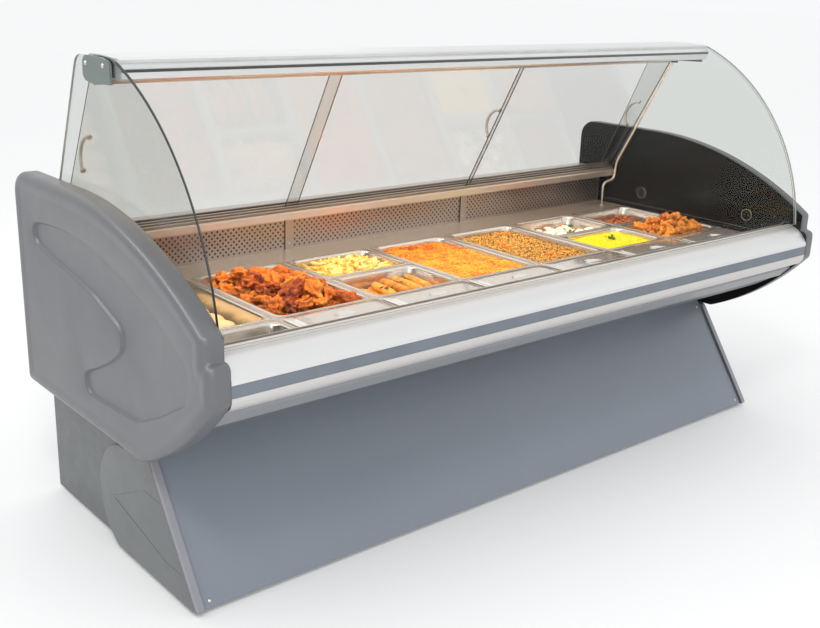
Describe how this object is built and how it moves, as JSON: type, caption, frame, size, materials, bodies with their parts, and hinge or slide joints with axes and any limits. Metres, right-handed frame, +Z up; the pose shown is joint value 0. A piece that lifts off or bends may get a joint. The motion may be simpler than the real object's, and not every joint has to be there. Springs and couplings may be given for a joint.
{
  "type": "hot food display case",
  "caption": "Heated serve-over counter with curved lift-up front glass, sliding rear doors and a well of lift-out food pans.",
  "frame": {"origin": "on the floor under the middle of the case", "axes": "+X along the counter to its right end as the customer sees it, -Y towards the customer, +Z up"},
  "size_m": [2.5, 1.096, 1.356],
  "materials": {
    "moulding": "satin moulded",
    "painted_steel": "satin powder coat",
    "liner": "gloss black",
    "glass": "clear float glass",
    "clear_plastic": "clear moulded",
    "aluminium": "satin anodised",
    "insert": "semi matt",
    "rubber": "matt",
    "black_plastic": "matt",
    "frame_paint": "matt paint",
    "heater": "heat tinted",
    "lamp_glass": "glowing quartz",
    "steel": "fine brushed stainless"
  },
  "bodies": {
    "case": {"base_frame": "frame_paint", "feet": "black_plastic", "side_panels": "painted_steel", "side_cover_left": "moulding", "side_cover_right": "moulding", "front_panel": "painted_steel", "lower_body": "painted_steel", "well_tub": "steel", "heating_elements": "heater", "deck_frame": "steel", "divider_bars": "steel", "back_wall": "steel", "work_shelf": "steel", "door_tracks": "aluminium", "end_panel_left": "moulding", "end_panel_right": "moulding", "end_liners": "liner", "end_glass_left": "glass", "end_glass_right": "glass", "glass_discs": "clear_plastic", "top_rail": "aluminium", "rail_end_plates": "moulding", "lamp_reflector": "steel", "heat_lamps": "lamp_glass", "wiring_tube": "steel", "bumper_upper": "aluminium", "bumper_insert": "insert", "bumper_lower": "aluminium", "case_screws": "steel", "control_panel": "steel", "cable_gland": "black_plastic", "front_pans": "steel"},
    "front_glass": {"front_glass": "glass", "glass_hinge": "aluminium", "rail_gasket": "rubber"},
    "door_left": {"door_left": "glass", "handle_left": "steel"},
    "door_middle": {"door_middle": "glass", "handle_middle": "steel"},
    "door_right": {"door_right": "glass", "handle_right": "steel"},
    "main_switch": {"main_switch": "black_plastic"},
    "lamp_switch": {"lamp_switch": "black_plastic"},
    "heat_knob": {"heat_knob": "black_plastic"},
    "pan_1": {"pan_1": "steel"},
    "pan_2": {"pan_2": "steel"},
    "pan_3_rear": {"pan_3_rear": "steel"},
    "pan_3_front": {"pan_3_front": "steel"},
    "pan_4": {"pan_4": "steel"},
    "pan_5": {"pan_5": "steel"},
    "pan_6_rear": {"pan_6_rear": "steel"},
    "pan_6_front": {"pan_6_front": "steel"},
    "pan_7_rear": {"pan_7_rear": "steel"},
    "pan_7_front": {"pan_7_front": "steel"},
    "lid_2": {"lid_2": "steel"},
    "lid_3": {"lid_3": "steel"},
    "lid_4": {"lid_4": "steel"},
    "lid_5": {"lid_5": "steel"},
    "lid_6": {"lid_6": "steel"},
    "lid_7": {"lid_7": "steel"}
  },
  "joints": [
    {"name": "door_left_slide", "type": "slide", "parent": "case", "child": "door_left", "axis": [1, 0, 0], "range_m": [0, 0.7]},
    {"name": "door_middle_slide", "type": "slide", "parent": "case", "child": "door_middle", "axis": [1, 0, 0], "range_m": [-0.7, 0]},
    {"name": "door_right_slide", "type": "slide", "parent": "case", "child": "door_right", "axis": [-1, 0, 0], "range_m": [0, 0.7]},
    {"name": "front_glass_lift", "type": "hinge", "parent": "case", "child": "front_glass", "pos_m": [0, -0.0125, 1.35], "axis": [-1, 0, 0], "range_deg": [0, 55]},
    {"name": "main_switch_rock", "type": "hinge", "parent": "case", "child": "main_switch", "pos_m": [0.616, 0.5235, 0.705], "axis": [1, 0, 0], "range_deg": [-3, 8]},
    {"name": "lamp_switch_rock", "type": "hinge", "parent": "case", "child": "lamp_switch", "pos_m": [0.686, 0.5235, 0.705], "axis": [1, 0, 0], "range_deg": [-3, 8]},
    {"name": "heat_knob_turn", "type": "hinge", "parent": "case", "child": "heat_knob", "pos_m": [0.8, 0.53, 0.705], "axis": [0, -1, 0], "range_deg": [0, 270]},
    {"name": "pan_1_lift", "type": "slide", "parent": "case", "child": "pan_1", "axis": [0, 0, 1], "range_m": [0, 0.15]},
    {"name": "pan_2_lift", "type": "slide", "parent": "case", "child": "pan_2", "axis": [0, 0, 1], "range_m": [0, 0.15]},
    {"name": "pan_3_rear_lift", "type": "slide", "parent": "case", "child": "pan_3_rear", "axis": [0, 0, 1], "range_m": [0, 0.15]},
    {"name": "pan_3_front_lift", "type": "slide", "parent": "case", "child": "pan_3_front", "axis": [0, 0, 1], "range_m": [0, 0.15]},
    {"name": "pan_4_lift", "type": "slide", "parent": "case", "child": "pan_4", "axis": [0, 0, 1], "range_m": [0, 0.15]},
    {"name": "pan_5_lift", "type": "slide", "parent": "case", "child": "pan_5", "axis": [0, 0, 1], "range_m": [0, 0.15]},
    {"name": "pan_6_rear_lift", "type": "slide", "parent": "case", "child": "pan_6_rear", "axis": [0, 0, 1], "range_m": [0, 0.15]},
    {"name": "pan_6_front_lift", "type": "slide", "parent": "case", "child": "pan_6_front", "axis": [0, 0, 1], "range_m": [0, 0.15]},
    {"name": "pan_7_rear_lift", "type": "slide", "parent": "case", "child": "pan_7_rear", "axis": [0, 0, 1], "range_m": [0, 0.15]},
    {"name": "pan_7_front_lift", "type": "slide", "parent": "case", "child": "pan_7_front", "axis": [0, 0, 1], "range_m": [0, 0.15]},
    {"name": "lid_2_lift", "type": "slide", "parent": "case", "child": "lid_2", "axis": [0, 0, 1], "range_m": [0, 0.12]},
    {"name": "lid_3_lift", "type": "slide", "parent": "case", "child": "lid_3", "axis": [0, 0, 1], "range_m": [0, 0.12]},
    {"name": "lid_4_lift", "type": "slide", "parent": "case", "child": "lid_4", "axis": [0, 0, 1], "range_m": [0, 0.12]},
    {"name": "lid_5_lift", "type": "slide", "parent": "case", "child": "lid_5", "axis": [0, 0, 1], "range_m": [0, 0.12]},
    {"name": "lid_6_lift", "type": "slide", "parent": "case", "child": "lid_6", "axis": [0, 0, 1], "range_m": [0, 0.12]},
    {"name": "lid_7_lift", "type": "slide", "parent": "case", "child": "lid_7", "axis": [0, 0, 1], "range_m": [0, 0.12]}
  ]
}
